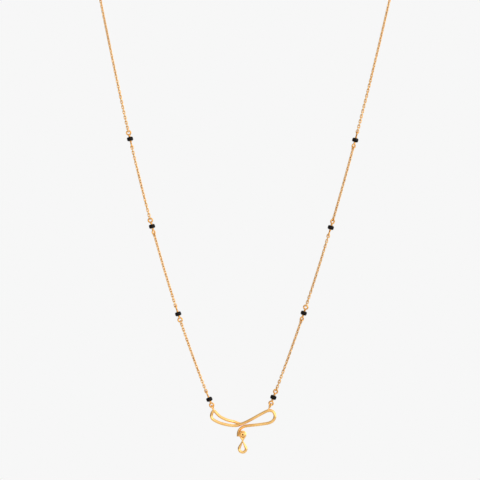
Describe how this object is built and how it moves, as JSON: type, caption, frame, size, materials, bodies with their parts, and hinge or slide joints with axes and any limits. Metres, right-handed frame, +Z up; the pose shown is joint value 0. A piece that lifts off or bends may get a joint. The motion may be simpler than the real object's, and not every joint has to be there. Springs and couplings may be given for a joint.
{
  "type": "mangalsutra necklace",
  "caption": "Fine gold cable chain with small black beads on wire pins, a looped ribbon pendant in front and an open teardrop that swings from it.",
  "frame": {"origin": "middle of the clasp at the nape, where the loop rests on the back of the neck", "axes": "+Z up, front of the necklace faces -Y, +X to the right as seen from the front"},
  "size_m": [0.1075, 0.0487, 0.1944],
  "materials": {
    "gold": "polished warm yellow gold",
    "black_glass": "glossy opaque black"
  },
  "bodies": {
    "root": {"clasp": "gold", "chain_l1": "gold", "chain_l2": "gold", "chain_l3": "gold", "chain_l4": "gold", "chain_r1": "gold", "chain_r2": "gold", "chain_r3": "gold", "chain_r4": "gold", "eye_pin_l1": "gold", "eye_pin_l2": "gold", "eye_pin_l3": "gold", "eye_pin_l4": "gold", "eye_pin_r1": "gold", "eye_pin_r2": "gold", "eye_pin_r3": "gold", "eye_pin_r4": "gold", "bead_l1": "black_glass", "bead_l2": "black_glass", "bead_l3": "black_glass", "bead_l4": "black_glass", "bead_r1": "black_glass", "bead_r2": "black_glass", "bead_r3": "black_glass", "bead_r4": "black_glass", "pendant_frame": "gold"},
    "drop": {"drop": "gold"}
  },
  "joints": [
    {"name": "drop_swing", "type": "hinge", "parent": "root", "child": "drop", "pos_m": [-0.00085, -0.0465, -0.18622], "axis": [0, 1, 0], "range_deg": [-90, 90]}
  ]
}
